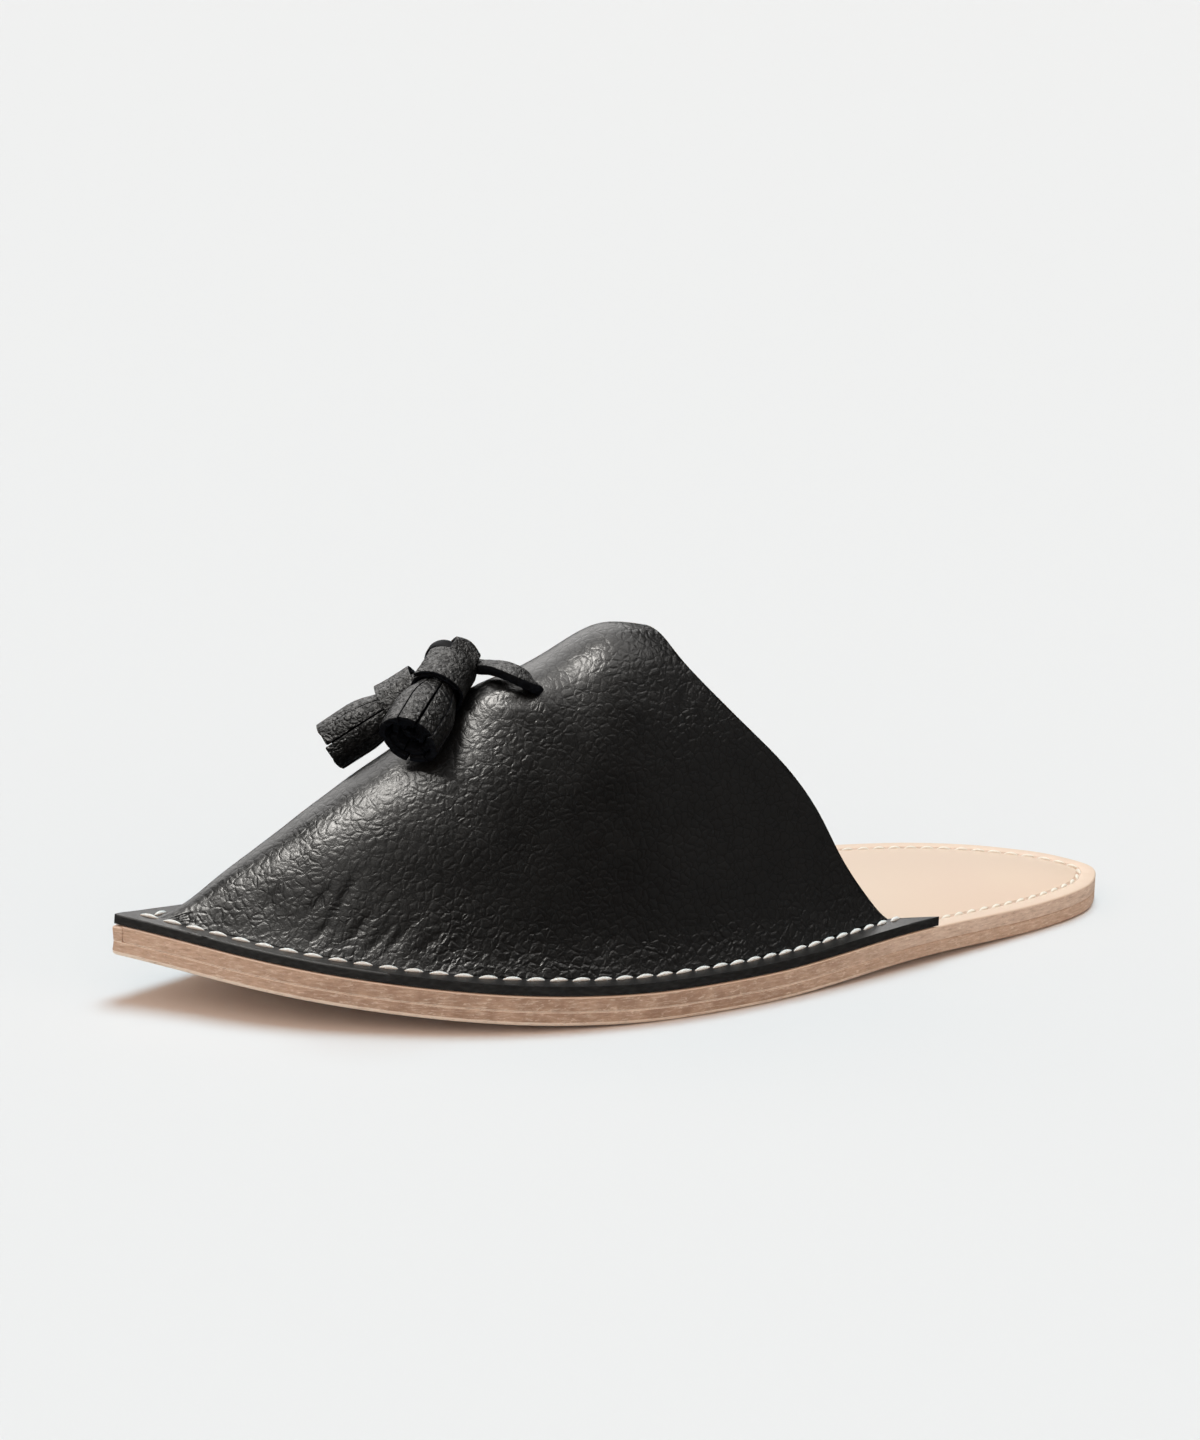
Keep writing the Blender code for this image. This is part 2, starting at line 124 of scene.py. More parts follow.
def sole_plan(node_name):
    """Full outline of a sole layer seen from above, and the line of its top from the side."""
    rim = smooth_through([tuple(point) for point in rim_of(node_name)], RIM_STEPS, closed=True)
    round_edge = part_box(node_name)[1].x - rim[:, 0].max()
    order = rim[:, 1].argsort()
    y = np.linspace(rim[:, 1].min(), rim[:, 1].max(), SIDE_LINE_STEPS)
    z = np.interp(y, rim[order, 1], rim[order, 2])
    return moved_in(rim, -round_edge), (y, z, np.gradient(z, y))


def flat_layer(outline, thickness, top_bevel, low_bevel):
    """A flat slab of the outline, its top at z 0, with worn edges."""
    slab = bmesh.new()
    top = slab.faces.new([slab.verts.new((x, y, 0.0)) for x, y in outline])
    made = bmesh.ops.extrude_face_region(slab, geom=[top])["geom"]
    lifted = [item for item in made if isinstance(item, bmesh.types.BMVert)]
    bmesh.ops.translate(slab, vec=(0.0, 0.0, thickness), verts=lifted)
    bmesh.ops.translate(slab, vec=(0.0, 0.0, -thickness), verts=slab.verts)
    bmesh.ops.recalc_face_normals(slab, faces=slab.faces)
    for level, width in ((0.0, top_bevel), (-thickness, low_bevel)):
        edges = [edge for edge in slab.edges if all(abs(v.co.z - level) < WELD for v in edge.verts)]
        bmesh.ops.bevel(slab, geom=edges, offset=width, offset_type="OFFSET", affect="EDGES",
                        segments=3, profile=0.5, material=-1)
    return slab


def is_worn_edge(face):
    """Whether a face of a flat slab is part of one of its bevelled edges."""
    return FACES_SIDEWAYS < abs(face.normal.z) < FACES_UP


def bend_to_sole(slab, side_line):
    """Cut a flat slab across into short strips and lay it on the sole's own side line."""
    line_y, line_z, line_slope = side_line
    for y in np.arange(line_y[0] + 0.5 * STRIP_LENGTH, line_y[-1], STRIP_LENGTH):
        bmesh.ops.bisect_plane(slab, geom=slab.verts[:] + slab.edges[:] + slab.faces[:], dist=WELD,
                               plane_co=(0, y, 0), plane_no=(0, 1, 0))
    for vert in slab.verts:
        x, y, depth = vert.co
        slope = np.interp(y, line_y, line_slope)
        lean = 1 / math.hypot(1, slope)
        vert.co = (x, y - slope * lean * depth, np.interp(y, line_y, line_z) + lean * depth)


def piece_of(name, builder, materials, sharp_angle=math.radians(35)):
    """A finished mesh as an object of the scene, shaded round except at its sharp edges."""
    mesh = bpy.data.meshes.new(name)
    builder.to_mesh(mesh)
    builder.free()
    mesh.shade_smooth()
    mesh.set_sharp_from_angle(angle=sharp_angle)
    for material in materials:
        mesh.materials.append(material)
    piece = bpy.data.objects.new(name, mesh)
    bpy.context.scene.collection.objects.link(piece)
    return piece


def add_node(tree, kind, sockets=None, **settings):
    """A shader node; a socket's value is a plain value, or another node's output to link."""
    made = tree.nodes.new(kind)
    for setting, value in settings.items():
        setattr(made, setting, value)
    for socket, value in (sockets or {}).items():
        if isinstance(value, bpy.types.NodeSocket):
            tree.links.new(value, made.inputs[socket])
        else:
            made.inputs[socket].default_value = value
    return made


def new_finish(name, roughness):
    """An empty material: its node tree, its shader and the piece's own coordinates."""
    material = bpy.data.materials.new(name)
    material.use_nodes = True
    tree = material.node_tree
    shader = tree.nodes["Principled BSDF"]
    shader.inputs["Roughness"].default_value = roughness
    place = add_node(tree, "ShaderNodeTexCoord").outputs["Object"]
    return material, tree, shader, place


def stretched(tree, place, scale):
    """Coordinates scaled apart on each axis, for streaks."""
    return add_node(tree, "ShaderNodeMapping", {"Vector": place, "Scale": scale}).outputs["Vector"]


def noise(tree, place, scale, detail=3.0, roughness=0.55):
    """Soft cloudy noise from 0 to 1."""
    sockets = {"Vector": place, "Scale": scale, "Detail": detail, "Roughness": roughness}
    return add_node(tree, "ShaderNodeTexNoise", sockets).outputs["Fac"]


def ranged(tree, value, low, high, to_low=0.0, to_high=1.0):
    """A value eased from one range to another."""
    sockets = {"Value": value, "From Min": low, "From Max": high, "To Min": to_low, "To Max": to_high}
    made = add_node(tree, "ShaderNodeMapRange", sockets, interpolation_type="SMOOTHSTEP")
    return made.outputs["Result"]


def math_of(tree, operation, first, second):
    """Two values added or multiplied."""
    return add_node(tree, "ShaderNodeMath", {0: first, 1: second}, operation=operation).outputs["Value"]


def mixed(tree, share, first, second):
    """Two colours mixed, by the colour sockets of a node that has others too."""
    sockets = {0: share, 6: first, 7: second}
    return add_node(tree, "ShaderNodeMix", sockets, data_type="RGBA").outputs[2]


def bumped(tree, shader, height, depth, strength):
    """Fine relief of a set depth on a shader."""
    bump = add_node(tree, "ShaderNodeBump", {"Height": height, "Distance": depth, "Strength": strength})
    tree.links.new(bump.outputs["Normal"], shader.inputs["Normal"])


def cut_edge_leather(name, toe_colour, heel_colour, waist_brown):
    """Cut side of sole leather: short fibre streaks along the edge, browner at the waist."""
    material, tree, shader, place = new_finish(name, roughness=0.68)
    streaks = noise(tree, stretched(tree, place, (300, 300, 1700)), 1.0, detail=6.0, roughness=0.72)
    flecks = noise(tree, stretched(tree, place, (450, 450, 1300)), 1.0, detail=3.0, roughness=0.65)
    clouds = noise(tree, place, 190.0, detail=4.0)
    y = add_node(tree, "ShaderNodeSeparateXYZ", {"Vector": place}).outputs["Y"]
    off_toe = ranged(tree, y, *TOE_TO_WAIST, 0.10, 0.90)
    off_heel = ranged(tree, y, *WAIST_TO_HEEL, 1.0, 0.30)
    blotches = ranged(tree, clouds, 0.35, 0.65, 0.5 * waist_brown, waist_brown)
    browned = math_of(tree, "MULTIPLY", math_of(tree, "MULTIPLY", off_toe, off_heel), blotches)
    colour = mixed(tree, ranged(tree, y, *HEEL_COLOUR_FROM), toe_colour, heel_colour)
    colour = mixed(tree, browned, colour, SOLE_BROWN)
    colour = mixed(tree, ranged(tree, streaks, 0.50, 0.30, 0.0, 0.55), colour, SOLE_BROWN)
    colour = mixed(tree, ranged(tree, streaks, 0.48, 0.72, 0.0, 0.55), colour, SOLE_PALE)
    colour = mixed(tree, ranged(tree, flecks, 0.56, 0.70, 0.0, 0.50), colour, SOLE_PALE)
    tree.links.new(colour, shader.inputs["Base Color"])
    bumped(tree, shader, math_of(tree, "ADD", streaks, flecks), 0.0004, 0.8)
    return material


sole_outline, outsole_line = sole_plan("outsole")
sole_side = cut_edge_leather("cut_sole_leather", SOLE_TAN, SOLE_TAN, SIDE_BROWNING)
sanded_edge = cut_edge_leather("sanded_sole_edge", SOLE_PALE, SOLE_TAN, SANDED_BROWNING)
outsole_slab = flat_layer(sole_outline, OUTSOLE_THICKNESS, JOINT_BEVEL, TREAD_BEVEL)
for face in outsole_slab.faces:
    face.material_index = 1 if is_worn_edge(face) else 0
bend_to_sole(outsole_slab, outsole_line)
outsole = piece_of("outsole_layer", outsole_slab, [sole_side, sanded_edge])
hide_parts("outsole")
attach(outsole, "root")


# Insole: a second layer of the same leather with its pale, smooth grain face up, glued to
# the outsole. A shallow groove pressed in round it takes the stitching on the open heel.
INSOLE_THICKNESS = 0.0038
LAYER_OVERLAP = 0.00027
INSOLE_PEACH = (0.780, 0.588, 0.456, 1.0)
INSOLE_CREAM = (0.790, 0.606, 0.462, 1.0)
INSOLE_BLUSH = (0.750, 0.542, 0.415, 1.0)
# Painted shade: the groove's faces get this darker brown to stand in for the shade inside the groove.
GROOVE_PAINTED_SHADE = (0.56, 0.39, 0.28, 1.0)
TOP_BEVEL = 0.0004
TOP_TILT = 0.2
STITCH_INSET = 0.0048
GROOVE_WIDTH = 0.0016
GROOVE_DEPTH = 0.00030
GROOVE_PROFILE = (0.0, 0.7, 1.0, 0.7, 0.0)
GROOVE_FRONT = -0.090
GROOVE_FADE = 0.040
GROOVE_LEAST = 0.04
# The third index marks the faces inside the groove, which get the painted groove shade.
GRAIN_FACE, CUT_SIDE, SHADED_GROOVE_RING, SANDED_EDGE = range(4)


def pale_grain_leather():
    """Undyed grain face: almost even, with faint clouds, fine pores and a soft sheen."""
    material, tree, shader, place = new_finish("pale_insole_leather", roughness=0.52)
    clouds = noise(tree, place, 22.0, detail=3.0)
    pores = noise(tree, place, 1500.0, detail=2.0)
    colour = mixed(tree, ranged(tree, clouds, 0.3, 0.7), INSOLE_PEACH, INSOLE_CREAM)
    colour = mixed(tree, ranged(tree, pores, 0.55, 0.8, 0.0, 0.25), colour, INSOLE_BLUSH)
    tree.links.new(colour, shader.inputs["Base Color"])
    bumped(tree, shader, pores, 0.00006, 0.5)
    return material


def painted_groove_shade():
    """Grain face of the pressed groove, painted a blotchy darker brown as shade in the groove."""
    material, tree, shader, place = new_finish("groove_painted_shade", roughness=0.45)
    shade_blotches = noise(tree, place, 500.0, detail=3.0)
    colour = mixed(tree, ranged(tree, shade_blotches, 0.35, 0.7), GROOVE_PAINTED_SHADE, INSOLE_BLUSH)
    tree.links.new(colour, shader.inputs["Base Color"])
    bumped(tree, shader, shade_blotches, 0.0001, 0.5)
    return material


def press_groove(slab):
    """Sink a round-bottomed groove at a set distance from the edge, fading out under the upper."""
    upward = [face for face in slab.faces if face.normal.z > FACES_UP]
    top = max(upward, key=lambda face: face.calc_area())
    quarter = 0.25 * GROOVE_WIDTH
    widths = (STITCH_INSET - TOP_BEVEL - 2 * quarter, quarter, quarter, quarter, quarter)
    for width, sunk in zip(widths, GROOVE_PROFILE):
        ring = bmesh.ops.inset_region(slab, faces=[top], thickness=0.0, depth=0.0)["faces"]
        for face in ring:
            # Faces inside the groove take the finish with painted shade.
            face.material_index = SHADED_GROOVE_RING if width == quarter else GRAIN_FACE
        places = []
        for loop in top.loops:
            run = loop.link_loop_next.vert.co - loop.link_loop_prev.vert.co
            shown = min(max((loop.vert.co.y - GROOVE_FRONT) / GROOVE_FADE, GROOVE_LEAST), 1.0)
            step = shown * width * Vector((-run.y, run.x, 0.0)).normalized()
            places.append((loop.vert, loop.vert.co + step, -sunk * shown * GROOVE_DEPTH))
        for vert, place, depth in places:
            vert.co = (place.x, place.y, depth)


insole_outline, insole_line = sole_plan("insole")
insole_slab = flat_layer(insole_outline, INSOLE_THICKNESS + LAYER_OVERLAP, TOP_BEVEL, JOINT_BEVEL)
for face in insole_slab.faces:
    if face.normal.z > TOP_TILT:
        face.material_index = GRAIN_FACE
    else:
        face.material_index = SANDED_EDGE if is_worn_edge(face) else CUT_SIDE
press_groove(insole_slab)
bend_to_sole(insole_slab, insole_line)
insole_side = cut_edge_leather("cut_insole_leather", SOLE_TAN, INSOLE_PEACH, SIDE_BROWNING)
# The third finish paints the groove's shade into its colour.
insole_finishes = [pale_grain_leather(), insole_side, painted_groove_shade(), sanded_edge]
insole = piece_of("insole_layer", insole_slab, insole_finishes)
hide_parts("insole")
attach(insole, "root")


# Upper: one piece of black, pebbled cow leather about 2.5 mm thick, unlined. It is pulled
# over the last, turned out into a flange and sewn down through both sole layers.
LEATHER_BLACK = (0.0024, 0.0025, 0.0025, 1.0)
LEATHER_WORN = (0.0044, 0.0045, 0.0044, 1.0)
EDGE_INK = (0.007, 0.0078, 0.008, 1.0)
EDGE_FIBRE = (0.020, 0.022, 0.022, 1.0)
FLESH_BLACK = (0.012, 0.011, 0.010, 1.0)
SHARP = math.radians(40)
ROUNDING_TRIES = 4
FLANGE_WIDTH = 0.0065
PEBBLE_SIZE = 0.0023
PEBBLE_DEPTH = 0.000075
PULL_TURN = (math.radians(-45), 0.0, 0.0)
PULL_HEIGHT = 0.016
TOE_FADE = (-0.10, -0.06)
FLARE_OUT = 0.0013
FLARE_HEIGHT = 0.008

# Patches of the crest where the grain is flatter or deeper: middle and reach, in y and z.
CREST_FRONT = ((-0.030, 0.083), (0.016, 0.008))
CREST_BACK = ((0.005, 0.078), (0.020, 0.018))

# Creases of the worn leather, from one point near the surface to another. Width and depth
# are of the trough, and the swelling under the thong has a negative depth.
Crease = namedtuple("Crease", "start end width depth")
CREASES = (
    Crease((-0.0060, -0.0520, 0.0715), (0.0070, -0.0350, 0.0785), 0.0085, -0.0034),
    Crease((0.0053, -0.0427, 0.0746), (0.0097, -0.0363, 0.0753), 0.0012, 0.00035),
    Crease((0.0022, -0.0415, 0.0763), (0.0066, -0.0350, 0.0783), 0.0012, 0.00035),
    Crease((0.0145, 0.0060, 0.0800), (0.0195, 0.0020, 0.0710), 0.0020, 0.00030),
    Crease((0.0137, -0.0242, 0.0774), (0.0155, 0.0060, 0.0774), 0.0026, 0.00020),
    Crease((0.0029, -0.1061, 0.0245), (0.0022, -0.1021, 0.0305), 0.0011, 0.00022),
    Crease((0.0095, -0.0964, 0.0258), (0.0103, -0.0900, 0.0323), 0.0012, 0.00025),
    Crease((0.0130, -0.0963, 0.0200), (0.0138, -0.0912, 0.0245), 0.0011, 0.00022),
    Crease((0.0134, -0.0911, 0.0254), (0.0122, -0.0832, 0.0364), 0.0012, 0.00028),
    Crease((0.0180, -0.0879, 0.0201), (0.0176, -0.0819, 0.0273), 0.0012, 0.00028),
    Crease((0.0211, -0.0837, 0.0185), (0.0211, -0.0778, 0.0245), 0.0012, 0.00028),
    Crease((0.0232, -0.0799, 0.0182), (0.0229, -0.0726, 0.0258), 0.0012, 0.00030),
    Crease((0.0265, -0.0736, 0.0173), (0.0265, -0.0664, 0.0236), 0.0012, 0.00028),
    Crease((0.0299, -0.0668, 0.0162), (0.0290, -0.0619, 0.0218), 0.0011, 0.00025),
    Crease((0.0388, -0.0280, 0.0164), (0.0375, -0.0242, 0.0209), 0.0011, 0.00025),
    Crease((0.0394, -0.0171, 0.0166), (0.0379, -0.0132, 0.0210), 0.0011, 0.00025),
    Crease((0.0387, -0.0028, 0.0174), (0.0371, 0.0018, 0.0212), 0.0011, 0.00022),
)


def sheets_of(builder):
    """Groups of faces that sharp edges part, the largest first."""
    waiting = set(builder.faces)
    sheets = []
    while waiting:
        group = {waiting.pop()}
        to_visit = list(group)
        while to_visit:
            for edge in to_visit.pop().edges:
                if edge.calc_face_angle(math.pi) < SHARP:
                    found = set(edge.link_faces) & waiting
                    waiting -= found
                    group |= found
                    to_visit += found
        sheets.append(group)
    return sorted(sheets, key=lambda group: -sum(face.calc_area() for face in group))


def top_of(group):
    """Height of the highest face of a group."""
    return max(face.calc_center_median().z for face in group)


def smooth_upper():
    """A fine round surface through the solid's points: grain face 0, flesh face 1, cut edges 2."""
    cage = welded("upper")
    bmesh.ops.join_triangles(cage, faces=cage.faces, angle_face_threshold=SHARP,
                             angle_shape_threshold=math.radians(60))
    sheets = sheets_of(cage)
    sheets[:2] = sorted(sheets[:2], key=top_of, reverse=True)
    for i, group in enumerate(sheets):
        for face in group:
            face.material_index = min(i, 2)
    crease = cage.edges.layers.float.new("crease_edge")
    for edge in cage.edges:
        edge[crease] = 1.0 if edge.calc_face_angle(0.0) > SHARP else 0.0
    rough = piece_of("upper_cage", cage, [])
    rounding = rough.modifiers.new("rounding", "SUBSURF")
    rounding.levels = rounding.render_levels = 2
    solid_points = [v.co.copy() for v in rough.data.vertices]
    for _ in range(ROUNDING_TRIES):
        graph = bpy.context.evaluated_depsgraph_get()
        rounded = bpy.data.meshes.new_from_object(rough.evaluated_get(graph))
        for vert, solid_point, round_vert in zip(rough.data.vertices, solid_points, rounded.vertices):
            vert.co += solid_point - round_vert.co
        rough.data.update()
    fine = bmesh.new()
    fine.from_mesh(rounded)
    bpy.data.objects.remove(rough, do_unlink=True)
    grain_edges = [edge for edge in fine.edges
                   if any(face.material_index == 0 for face in edge.link_faces)]
    bmesh.ops.subdivide_edges(fine, edges=grain_edges, cuts=1, use_grid_fill=True, smooth=0.0)
    fine.normal_update()
    return fine


def distance_in(outline, points):
    """Distance of plan points from the nearest place on a closed outline."""
    run = np.roll(outline, -1, axis=0) - outline
    nearest = np.full(len(points), np.inf)
    for start, step in zip(outline, run):
        offset = points - start
        t = np.clip(offset @ step / (step @ step), 0.0, 1.0)
        nearest = np.minimum(nearest, np.linalg.norm(offset - t[:, None] * step, axis=1))
    return nearest


def over_sole(points):
    """Height of points over the insole's top."""
    return points[:, 2] - np.interp(points[:, 1], *insole_line[:2])


def patch_share(points, middle, reach):
    """Soft patch of the vamp as seen from the side: 1 in its middle, fading over its reach."""
    return np.exp(-(((points[:, 1:] - middle) / reach) ** 2).sum(axis=1))


def crease_depths(points, surface):
    """How far each point of the grain face sinks."""
    depths = np.zeros(len(points))
    for crease in CREASES:
        ends = (Vector(crease.start), Vector(crease.end))
        start, end = (np.array(surface.find_nearest(point)[0]) for point in ends)
        run = end - start
        t = np.clip((points - start) @ run / (run @ run), 0.0, 1.0)
        apart = np.linalg.norm(points - start - t[:, None] * run, axis=1)
        fade = np.sin(math.pi * np.clip(0.12 + 0.76 * t, 0.0, 1.0))
        depths += crease.depth * fade * np.exp(-(apart / crease.width) ** 2)
    return depths


def edge_distance(tree, place, scale):
    """Distance from the nearest line of a net of uneven cells."""
    sockets = {"Vector": place, "Scale": scale}
    made = add_node(tree, "ShaderNodeTexVoronoi", sockets, feature="DISTANCE_TO_EDGE")
    return made.outputs["Distance"]


def point_values(tree, name):
    """Numbers that a piece keeps for each of its points."""
    return add_node(tree, "ShaderNodeAttribute", attribute_name=name).outputs["Fac"]


def vector_of(tree, operation, sockets):
    """Vectors added, subtracted or scaled."""
    return add_node(tree, "ShaderNodeVectorMath", sockets, operation=operation).outputs["Vector"]


def pebbled_leather(name, cell, depth, pitted):
    """Semi-gloss pebbled grain: low domes between duller lines. On the vamp the pebbles are
    drawn out where the leather is pulled; cut into strips it is coarser and pitted all over."""
    material, tree, shader, place = new_finish(name, roughness=0.40)
    wobble = add_node(tree, "ShaderNodeTexNoise", {"Vector": place, "Scale": 0.45 / cell, "Detail": 4.0})
    centred = vector_of(tree, "SUBTRACT", {0: wobble.outputs["Color"], 1: (0.5, 0.5, 0.5)})
    sway = vector_of(tree, "SCALE", {0: centred, "Scale": 1.5 * cell})
    swayed = vector_of(tree, "ADD", {0: place, 1: sway})
    cells = edge_distance(tree, swayed, 1 / cell)
    small_cells = edge_distance(tree, swayed, 2.3 / cell)
    patches = ranged(tree, noise(tree, place, 0.14 / cell, detail=2.0), 0.35, 0.65, 0.45, 1.0)
    lines = math_of(tree, "MULTIPLY", ranged(tree, cells, 0.0, 0.26), patches)
    domes = math_of(tree, "MULTIPLY", ranged(tree, cells, 0.0, 0.60), 0.5)
    fine = math_of(tree, "MULTIPLY", ranged(tree, small_cells, 0.0, 0.20), 0.24)
    swell = math_of(tree, "MULTIPLY", noise(tree, place, 0.22 / cell, detail=1.0), 1.2)
    height = math_of(tree, "ADD", math_of(tree, "ADD", lines, domes), math_of(tree, "ADD", fine, swell))
    clouds = noise(tree, place, 70.0, detail=3.0)
    if pitted:
        pits = noise(tree, place, 750.0, detail=5.0, roughness=0.62)
        height = math_of(tree, "ADD", height, math_of(tree, "MULTIPLY", pits, 1.6))
        shine = ranged(tree, pits, 0.36, 0.66, 0.26, 0.95)
        dullness = ranged(tree, noise(tree, place, 900.0, detail=3.0), 0.3, 0.7, 0.31, 0.54)
    else:
        sockets = {"Vector": swayed, "Rotation": PULL_TURN, "Scale": (1.0, 1.0, 2.4)}
        drawn = add_node(tree, "ShaderNodeMapping", sockets, vector_type="TEXTURE").outputs["Vector"]
        folds = ranged(tree, edge_distance(tree, drawn, 1.1 / cell), 0.0, 0.50)
        folds = math_of(tree, "MULTIPLY", folds, point_values(tree, "pulled"))
        height = math_of(tree, "MULTIPLY", height, point_values(tree, "grain"))
        height = math_of(tree, "ADD", height, folds)
        shine = ranged(tree, cells, 0.0, 0.07, 0.42, 0.62)
        dullness = ranged(tree, clouds, 0.3, 0.7, 0.31, 0.37)
    tree.links.new(mixed(tree, clouds, LEATHER_BLACK, LEATHER_WORN), shader.inputs["Base Color"])
    tree.links.new(dullness, shader.inputs["Roughness"])
    tree.links.new(shine, shader.inputs["Specular IOR Level"])
    bumped(tree, shader, height, depth, 0.8)
    return material


def cut_black_edge(name, ink, fibre, specular):
    """Cut edge of black leather: matt, with coarse fibres."""
    material, tree, shader, place = new_finish(name, roughness=0.62)
    shader.inputs["Specular IOR Level"].default_value = specular
    fibres = noise(tree, stretched(tree, place, (500, 500, 1500)), 1.0, detail=3.0)
    colour = mixed(tree, ranged(tree, fibres, 0.35, 0.75), ink, fibre)
    tree.links.new(colour, shader.inputs["Base Color"])
    bumped(tree, shader, fibres, 0.00015, 0.6)
    return material


def flesh_side():
    """Bare inner face of the leather: a short, matt nap."""
    material, tree, shader, place = new_finish("flesh_side_nap", roughness=0.92)
    nap = noise(tree, place, 900.0, detail=4.0, roughness=0.7)
    tree.links.new(mixed(tree, nap, FLESH_BLACK, EDGE_FIBRE), shader.inputs["Base Color"])
    shader.inputs["Sheen Weight"].default_value = 0.12
    shader.inputs["Sheen Roughness"].default_value = 0.5
    bumped(tree, shader, nap, 0.0003, 0.7)
    return material


def keep_for_points(piece, name, values):
    """Store a number for each point of a piece, for its material to read."""
    kept = piece.data.attributes.new(name, "FLOAT", "POINT")
    kept.data.foreach_set("value", values.astype(np.float32))


upper_skin = smooth_upper()
grain_verts = [v for v in upper_skin.verts if all(face.material_index == 0 for face in v.link_faces)]
grain_points = np.array([v.co for v in grain_verts])
sunk = crease_depths(grain_points, BVHTree.FromBMesh(upper_skin))
flares = FLARE_OUT * np.exp(-np.clip(over_sole(grain_points) / FLARE_HEIGHT, 0.0, None) ** 1.5)
for vert, depth, flare in zip(grain_verts, sunk, flares):
    vert.co += Vector((vert.normal.x, vert.normal.y, 0.0)) * flare - vert.normal * depth

skin_points = np.array([v.co for v in upper_skin.verts])
from_edge = distance_in(sole_outline, skin_points[:, :2])
off_flange = np.clip((from_edge - 0.55 * FLANGE_WIDTH) / (0.6 * FLANGE_WIDTH), 0.0, 1.0)
by_flange = np.clip(1.3 - over_sole(skin_points) / PULL_HEIGHT, 0.0, 1.0)
behind_toe = np.interp(skin_points[:, 1], TOE_FADE, (0.0, 1.0))
by_place = 0.65 + (0.25 + 0.90 * by_flange) * behind_toe
by_place += 0.70 * patch_share(skin_points, *CREST_BACK) - 0.40 * patch_share(skin_points, *CREST_FRONT)

pebbled = pebbled_leather("black_pebbled_leather", PEBBLE_SIZE, PEBBLE_DEPTH, pitted=False)
black_edge = cut_black_edge("inked_edge", EDGE_INK, EDGE_FIBRE, 0.5)
upper = piece_of("upper_vamp", upper_skin, [pebbled, flesh_side(), black_edge], SHARP)
keep_for_points(upper, "grain", 0.10 + off_flange * by_place)
keep_for_points(upper, "pulled", (0.5 + 1.6 * behind_toe) * off_flange * by_flange)
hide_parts("upper")
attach(upper, "root")


# Stitching: thick, waxed thread in one row round the whole shoe, sewn by hand through both
# sole layers. It is near white where it holds the flange, and cream in the heel's groove.
THREAD_WHITE = (0.86, 0.89, 0.87, 1.0)
THREAD_CREAM = (0.94, 0.88, 0.76, 1.0)
THREAD_SHADE = (0.62, 0.58, 0.50, 1.0)
PITCH_AT_Y = (-0.08, -0.02, 0.04, 0.06)
STITCH_PITCH = (0.0064, 0.0056, 0.0047, 0.0047)
STITCH_LENGTH = (0.0050, 0.0052, 0.0049, 0.0041)
THREAD_WIDTH = 0.0012
STITCH_TURN = math.radians(10)
STITCH_RISE = 0.18
STITCH_TAPER = 0.25
STITCH_SINK = 0.8
STITCH_AHEAD = 0.001
ABOVE_SHOE = 0.2
DOWN = Vector((0.0, 0.0, -1.0))


def waxed_thread(name, colour):
    """Twisted thread with a little wax."""
    material, tree, shader, place = new_finish(name, roughness=0.55)
    ply = noise(tree, place, 2600.0, detail=2.0)
    shaded = mixed(tree, ranged(tree, ply, 0.3, 0.6, 0.75, 1.0), THREAD_SHADE, colour)
    tree.links.new(shaded, shader.inputs["Base Color"])
    bumped(tree, shader, ply, 0.00012, 0.6)
    return material


def along_path(path):
    """Places, directions and lengths of the stitches along a closed path."""
    closed = np.vstack([path, path[:1]])
    steps = np.linalg.norm(np.diff(closed, axis=0), axis=1)
    lengths = np.concatenate([[0.0], steps.cumsum()])
    pitch = np.interp(closed[:, 1], PITCH_AT_Y, STITCH_PITCH)
    counted = np.concatenate([[0.0], (steps / pitch[1:]).cumsum()])
    count = int(counted[-1])
    at = np.interp(np.arange(count) * counted[-1] / count, counted, lengths)
    places = np.stack([np.interp(at, lengths, closed[:, axis]) for axis in (0, 1)], axis=1)
    nearby = (at + STITCH_AHEAD) % lengths[-1]
    ahead = np.stack([np.interp(nearby, lengths, closed[:, axis]) for axis in (0, 1)], axis=1)
    return places, ahead - places, np.interp(places[:, 1], PITCH_AT_Y, STITCH_LENGTH)


def add_stitch(builder, place, direction, normal, length):
    """One stitch: a lens of thread, its ends drawn down into the leather."""
    made = bmesh.ops.create_uvsphere(builder, u_segments=10, v_segments=8, radius=0.5)["verts"]
    for vert in made:
        along, across, up = vert.co.z, vert.co.x, vert.co.y
        full = 1 - STITCH_TAPER * (2 * along) ** 2
        height = up * full + STITCH_RISE - STITCH_SINK * along ** 2
        vert.co = (along * length, across * THREAD_WIDTH * full, height * THREAD_WIDTH)
    direction = (direction - direction.dot(normal) * normal).normalized()
    turn = Matrix((direction, normal.cross(direction), normal)).transposed().to_4x4()
    spin = Matrix.Rotation(STITCH_TURN, 4, "Z")
    bmesh.ops.transform(builder, matrix=Matrix.Translation(place) @ turn @ spin, verts=made)


graph = bpy.context.evaluated_depsgraph_get()
insole_surface = BVHTree.FromObject(insole, graph)
upper_surface = BVHTree.FromObject(upper, graph)
stitch_path = moved_in(sole_outline, STITCH_INSET)
stitch_path = stitch_path[distance_in(sole_outline, stitch_path) > 0.97 * STITCH_INSET]
threads = {"flange_stitches": waxed_thread("waxed_white_thread", THREAD_WHITE),
           "heel_stitches": waxed_thread("waxed_cream_thread", THREAD_CREAM)}
rows = {row: bmesh.new() for row in threads}
for place, direction, length in zip(*along_path(stitch_path)):
    above = Vector((*place, ABOVE_SHOE))
    row = "flange_stitches"
    spot, normal = upper_surface.ray_cast(above, DOWN)[:2]
    if spot is None:
        row = "heel_stitches"
        spot, normal = insole_surface.ray_cast(above, DOWN)[:2]
    add_stitch(rows[row], spot, Vector((*direction, 0.0)), normal, length)
for row, builder in rows.items():
    stitches = piece_of(row, builder, [threads[row]])
    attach(stitches, "root")


